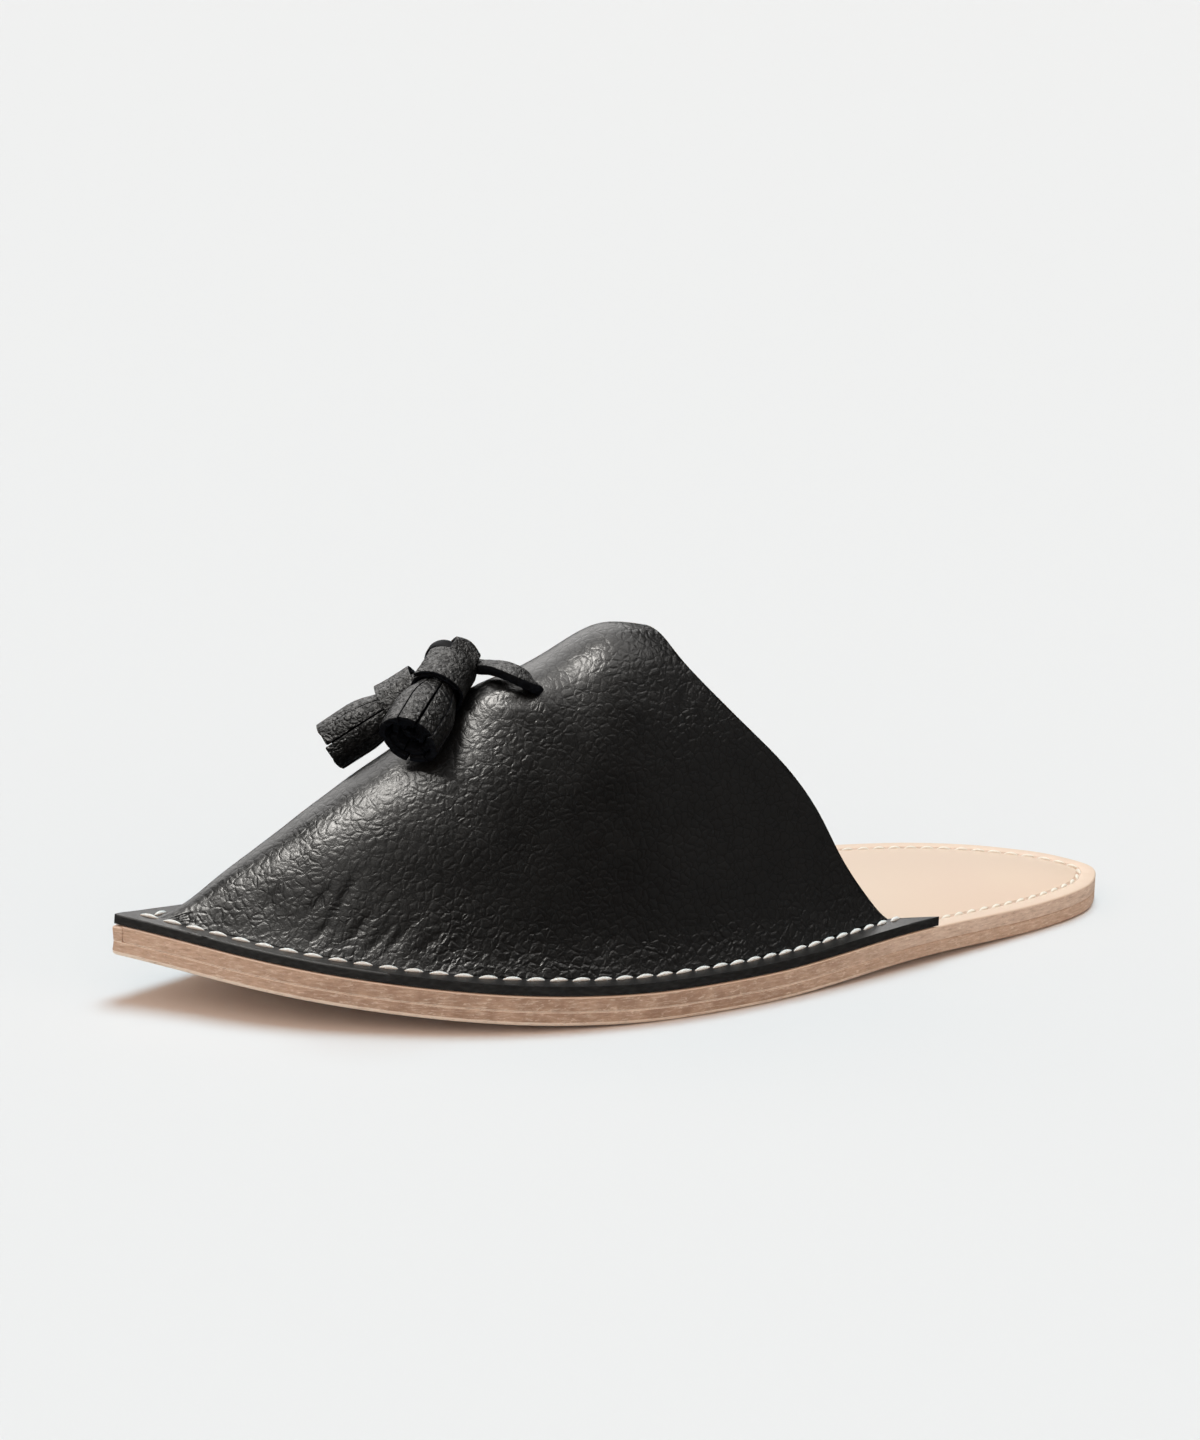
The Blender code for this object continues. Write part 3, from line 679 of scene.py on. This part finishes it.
# Tassels: nine strips of the same black leather round a bundle of narrower ones, hung from a
# head rolled up out of one piece. One lies on each side of the vamp's crest.
Tassel = namedtuple("Tassel", "name girth top tip seed lap_from")
TASSELS = (
    Tassel("lateral", 1.10, Vector((-0.0096, -0.0488, 0.0828)), Vector((0.0094, -0.0690, 0.0697)),
           3, 0.4),
    Tassel("medial", 0.94, Vector((-0.0193, -0.0516, 0.0752)), Vector((-0.0282, -0.0748, 0.0580)),
           8, 2.2),
)
TASSEL_LENGTH = 0.0325
HEAD_RADIUS = 0.0049
SKIRT_RADIUS = 0.0074
SKIRT_SPREAD = 2.0
SKIRT_TUCK = 0.001
WRAP_START = 0.0030
WRAP_END = 0.0135
STRIP_THICKNESS = 0.0019
STRIP_SHARE = 0.95
STRIP_RAGGED = 0.0014
STRIP_LIFT = (-0.0005, 0.0004)
STRIP_SWAY = (-0.07, 0.07)
ROLL_THICKNESS = 0.0015
ROLL_PITCH = 1.04 * ROLL_THICKNESS
ROLL_TURNS = 2.2
TASSEL_PEBBLE = 0.0016
TASSEL_DEPTH = 0.00026
STRIP_INK = (0.0020, 0.0024, 0.0040, 1.0)
STRIP_FIBRE = (0.0060, 0.0075, 0.0110, 1.0)
RING_STEP = 0.0022

# Rings of strips from the outside in: how many, how deep inside, and how much shorter.
BUNCH = ((9, 0.0, 0.0), (6, RING_STEP, 0.0016), (3, 0.0043, 0.0030))


def strip_blank(width, thickness, length, cuts_across, cuts_along):
    """A straight strip of leather with softened edges: x across, y through, z along."""
    blank = bmesh.new()
    size = (width, thickness, length)
    bmesh.ops.create_cube(blank, size=1.0, matrix=Matrix.Diagonal((*size, 1.0)))
    bmesh.ops.bevel(blank, geom=blank.edges[:], offset=0.2 * thickness, offset_type="OFFSET",
                    affect="EDGES", segments=2, profile=0.5, material=-1)
    for axis, cuts in ((0, cuts_across), (2, cuts_along)):
        edges = [edge for edge in blank.edges
                 if abs(edge.verts[0].co[axis] - edge.verts[1].co[axis]) > 0.5 * size[axis]]
        bmesh.ops.subdivide_edges(blank, edges=edges, cuts=cuts, use_grid_fill=True)
    blank.normal_update()
    for face in blank.faces:
        face.material_index = 0 if face.normal.y > 0.4 else 1
    return blank


def add_bent(builder, blank, bend):
    """Bend a blank and add it to a piece."""
    for vert in blank.verts:
        vert.co = bend(*vert.co)
    mesh = bpy.data.meshes.new("strip")
    blank.to_mesh(mesh)
    blank.free()
    builder.from_mesh(mesh)
    bpy.data.meshes.remove(mesh)


def hung(row):
    """Placing whose +Z runs from a tassel's top to its tip."""
    turn = (row.tip - row.top).to_track_quat("Z", "Y").to_matrix().to_4x4()
    return Matrix.Translation(row.top) @ turn


def round_axis(placing, radius, angle, distance):
    """Point round a tassel's axis, at a distance below its top."""
    return placing @ Vector((radius * math.cos(angle), radius * math.sin(angle), distance))


def skirt_radius(distance):
    """Outer radius of the bunch, which spreads below the wrap."""
    free = min(max((distance - WRAP_END) / (TASSEL_LENGTH - WRAP_END), 0.0), 1.0)
    spread = math.sin(0.5 * math.pi * min(SKIRT_SPREAD * free, 1.0))
    return HEAD_RADIUS + (SKIRT_RADIUS - HEAD_RADIUS) * spread


def tassel_bunch(row):
    """Head and strips of one tassel."""
    bunch = bmesh.new()
    placing = hung(row)
    dice = np.random.default_rng(row.seed)
    start = WRAP_END - SKIRT_TUCK
    for count, depth, short in BUNCH:
        span = math.tau / count
        width = STRIP_SHARE * span * row.girth * (SKIRT_RADIUS - depth)
        for i in range(count):
            end = TASSEL_LENGTH - short - dice.uniform(0.0, STRIP_RAGGED)
            lift = dice.uniform(*STRIP_LIFT)
            sway = dice.uniform(*STRIP_SWAY)
            middle = span * (i + 0.5 * depth / RING_STEP)

            def bend(x, y, z):
                share = z / (end - start) + 0.5
                distance = start + share * (end - start)
                outer = row.girth * (skirt_radius(distance) - depth) + lift * share
                angle = middle + sway * share + STRIP_SHARE * span * x / width
                return round_axis(placing, outer - 0.5 * STRIP_THICKNESS + y, angle, distance)

            add_bent(bunch, strip_blank(width, STRIP_THICKNESS, end - start, 5, 7), bend)
    length = math.tau * ROLL_TURNS * 0.6 * HEAD_RADIUS

    def roll(x, y, z):
        turn = ROLL_TURNS * (x / length + 0.5)
        outer = row.girth * HEAD_RADIUS - ROLL_PITCH * (ROLL_TURNS - turn)
        angle = math.tau * turn + row.lap_from
        distance = z + 0.5 * (WRAP_START + WRAP_END)
        return round_axis(placing, outer - 0.5 * ROLL_THICKNESS + y, angle, distance)

    add_bent(bunch, strip_blank(length, ROLL_THICKNESS, WRAP_END - WRAP_START, 60, 3), roll)
    return bunch


tassel_grain = pebbled_leather("black_tassel_leather", TASSEL_PEBBLE, TASSEL_DEPTH, pitted=True)
raw_edge = cut_black_edge("raw_strip_edge", STRIP_INK, STRIP_FIBRE, 0.12)
for row in TASSELS:
    tassel = piece_of("strips_" + row.name, tassel_bunch(row), [tassel_grain, raw_edge])
    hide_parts("tassel_" + row.name)
    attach(tassel, "root")


# Wraps: a thinner strip wound a little over once round each tassel's head, its end lapped
# over its start and glued, with the lower edge standing slightly open.
WRAP_THICKNESS = 0.0010
WRAP_TURNS = 1.3
WRAP_GAP = 0.0003
WRAP_FLARE = 0.0004
WRAP_TILT = 0.0004
LAP_STEP = 1.05 * WRAP_THICKNESS
LAP_CLIMB = 0.12


def wound_wrap(row):
    """One wrap, wound round its tassel."""
    wrap = bmesh.new()
    placing = hung(row)
    inner = row.girth * HEAD_RADIUS + WRAP_GAP
    length = math.tau * WRAP_TURNS * inner

    def bend(x, y, z):
        turn = WRAP_TURNS * (x / length + 0.5)
        climb = min(max((turn - 1.0) / LAP_CLIMB + 1.0, 0.0), 1.0)
        share = z / (WRAP_END - WRAP_START) + 0.5
        radius = inner + 0.5 * WRAP_THICKNESS + y + WRAP_FLARE * share ** 4
        radius += LAP_STEP * climb * climb * (3 - 2 * climb)
        angle = math.tau * turn + row.lap_from
        distance = WRAP_START + share * (WRAP_END - WRAP_START) + WRAP_TILT * math.sin(angle)
        return round_axis(placing, radius, angle, distance)

    add_bent(wrap, strip_blank(length, WRAP_THICKNESS, WRAP_END - WRAP_START, 64, 6), bend)
    return wrap


for row in TASSELS:
    wrap = piece_of("wound_wrap_" + row.name, wound_wrap(row), [tassel_grain, raw_edge])
    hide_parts("wrap_" + row.name)
    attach(wrap, "root")


# Loop and thong: a wide strip folded over the head of the outer tassel carries it on the
# thong, a narrow strip that comes out of a hole in the vamp and is tied in the inner tassel.
THONG_POINTS = (
    (0.0072, -0.0336, 0.0776), (0.0088, -0.0362, 0.0808), (0.0079, -0.0390, 0.0828),
    (0.0048, -0.0412, 0.0836), (0.0006, -0.0422, 0.0832), (-0.0046, -0.0428, 0.0820),
    (-0.0088, -0.0442, 0.0816), (-0.0110, -0.0473, 0.0837), (-0.0126, -0.0502, 0.0852),
    (-0.0160, -0.0520, 0.0832), (-0.0190, -0.0514, 0.0769),
)
THONG_WIDTH = 0.0050
THONG_THICKNESS = 0.0029
THONG_LEAN = Vector((0.25, -0.12, 1.0))
THONG_STEPS = 8
THONG_AHEAD = 0.0006
LOOP_AXIS = Vector((-0.347, -0.717, 0.603))
LOOP_RADIUS = 0.0042
LOOP_WIDTH = 0.0080
LOOP_THICKNESS = 0.0015
LOOP_RISE = 0.0018
LOOP_LEG = 0.0050
LOOP_CUP = 130.0


def folded_loop(row):
    """Strip folded over the thong, both its ends tucked in under the wrap."""
    loop = bmesh.new()
    axis = (row.tip - row.top).normalized()
    across = (LOOP_AXIS - LOOP_AXIS.dot(axis) * axis).normalized()
    side = across.cross(axis)
    centre = row.top - LOOP_RISE * axis
    arc = 0.5 * math.pi * LOOP_RADIUS

    def bend(x, y, z):
        leg = max(abs(z) - arc, 0.0)
        angle = min(max(z, -arc), arc) / LOOP_RADIUS
        reach = LOOP_RADIUS + y - LOOP_CUP * x * x * math.cos(angle)
        fold = math.sin(angle) * side - math.cos(angle) * axis
        return centre + reach * fold + leg * axis + x * across

    add_bent(loop, strip_blank(LOOP_WIDTH, LOOP_THICKNESS, 2 * (arc + LOOP_LEG), 5, 40), bend)
    return loop


def laid_thong():
    """The thong as a strip along its route, flat side up."""
    thong = bmesh.new()
    route = smooth_through(THONG_POINTS, THONG_STEPS, closed=False)
    length = np.linalg.norm(np.diff(route, axis=0), axis=1).sum()
    marks = np.linspace(-0.5, 0.5, len(route)) * length
    off_head = (TASSELS[0].top - TASSELS[0].tip).normalized()

    def at(z):
        return Vector([np.interp(z, marks, route[:, axis]) for axis in range(3)])

    def bend(x, y, z):
        run = (at(z + THONG_AHEAD) - at(z - THONG_AHEAD)).normalized()
        flat = THONG_LEAN.lerp(off_head, min(max(3 * z / length, 0.0), 1.0))
        side = run.cross(flat).normalized()
        return at(z) + x * side + y * side.cross(run)

    add_bent(thong, strip_blank(THONG_WIDTH, THONG_THICKNESS, length, 3, 60), bend)
    return thong


loop = piece_of("folded_loop", folded_loop(TASSELS[0]), [tassel_grain, raw_edge])
thong = piece_of("laid_thong", laid_thong(), [tassel_grain, raw_edge])
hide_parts("tassel_lateral")
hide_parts("thong")
for strip in (loop, thong):
    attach(strip, "root")


# Studio: a pale floor that rises into a low round wall. A cool light from above and a warm
# fill from the front light the matt faces, and broad softboxes show only in the gloss.
FLOOR_RADIUS = 4.0
FLOOR_PALE = (0.80, 0.80, 0.80, 1.0)
FLOOR_RISE = ((1.06, 0.04), (1.05, 0.12), (1.03, 0.25), (1.01, 0.40))
WORLD_WHITE = (1.0, 1.0, 1.0, 1.0)
WORLD_STRENGTH = 0.03

# Lights, with the direction towards each, its strength and its spread in degrees.
Sun = namedtuple("Sun", "name toward strength spread colour in_gloss")
SUNS = (
    Sun("top_softbox", (-0.22, 0.22, 0.95), 2.38, 30, (0.585, 0.848, 0.98), False),
    Sun("warm_fill", (0.40, -0.45, 0.80), 2.3, 165, (1.0, 0.71, 0.55), False),
    Sun("toe_gloss", (0.05, -0.47, 0.88), 4.0, 25, (1.0, 0.97, 0.92), True),
    Sun("low_gloss", (0.54, -0.66, 0.52), 0.13, 28, (1.0, 0.97, 0.92), True),
    Sun("crest_gloss", (0.10, 0.20, 0.97), 1.45, 58, (1.0, 0.97, 0.94), True),
    Sun("back_gloss", (-0.78, 0.04, 0.62), 2.0, 60, (1.0, 0.98, 0.96), True),
    Sun("heel_gloss", (0.62, 0.72, 0.28), 0.09, 60, (1.0, 0.98, 0.96), True),
)
FILM = 36.0
LENS = 109.655
CAMERA_PLACE = Vector((0.9957, -0.4609, 0.3934))
CAMERA_AIM = Vector((-0.0244, -0.0012, 0.0581))
CAMERA_ROLL = math.radians(1.5)

floor_builder = bmesh.new()
bmesh.ops.create_circle(floor_builder, cap_ends=True, segments=96, radius=FLOOR_RADIUS)
rim_edges = floor_builder.edges[:]
for widen, rise in FLOOR_RISE:
    made = bmesh.ops.extrude_edge_only(floor_builder, edges=rim_edges)["geom"]
    rim_verts = [item for item in made if isinstance(item, bmesh.types.BMVert)]
    rim_edges = [item for item in made if isinstance(item, bmesh.types.BMEdge)]
    bmesh.ops.scale(floor_builder, vec=(widen, widen, 1.0), verts=rim_verts)
    bmesh.ops.translate(floor_builder, vec=(0.0, 0.0, rise), verts=rim_verts)
bmesh.ops.recalc_face_normals(floor_builder, faces=floor_builder.faces)
floor_finish, _, floor_shader, _ = new_finish("studio_floor", roughness=0.9)
floor_shader.inputs["Base Color"].default_value = FLOOR_PALE
floor_shader.inputs["Specular IOR Level"].default_value = 0.0
floor = piece_of("studio_floor", floor_builder, [floor_finish])
floor.visible_glossy = False


def add_sun(sun):
    """A broad light from far off, seen either in the gloss of the leather or by the matt faces."""
    light = bpy.data.lights.new(sun.name, "SUN")
    light.energy = sun.strength
    light.angle = math.radians(sun.spread)
    light.color = sun.colour
    lamp = bpy.data.objects.new(sun.name, light)
    lamp.rotation_mode = "QUATERNION"
    lamp.rotation_quaternion = Vector(sun.toward).to_track_quat("Z", "Y")
    lamp.visible_glossy = sun.in_gloss
    lamp.visible_diffuse = not sun.in_gloss
    bpy.context.scene.collection.objects.link(lamp)


for sun in SUNS:
    add_sun(sun)
world = bpy.data.worlds.new("studio")
bpy.context.scene.world = world
world.use_nodes = True
background = world.node_tree.nodes["Background"]
background.inputs["Color"].default_value = WORLD_WHITE
background.inputs["Strength"].default_value = WORLD_STRENGTH

camera = bpy.data.objects.new("camera", bpy.data.cameras.new("camera"))
camera.data.lens = LENS
camera.data.sensor_width = FILM
facing = (CAMERA_AIM - CAMERA_PLACE).to_track_quat("-Z", "Y").to_matrix().to_4x4()
roll = Matrix.Rotation(CAMERA_ROLL, 4, "Z")
camera.matrix_world = Matrix.Translation(CAMERA_PLACE) @ facing @ roll
bpy.context.scene.collection.objects.link(camera)
bpy.context.scene.camera = camera
bpy.context.scene.view_settings.view_transform = "Standard"
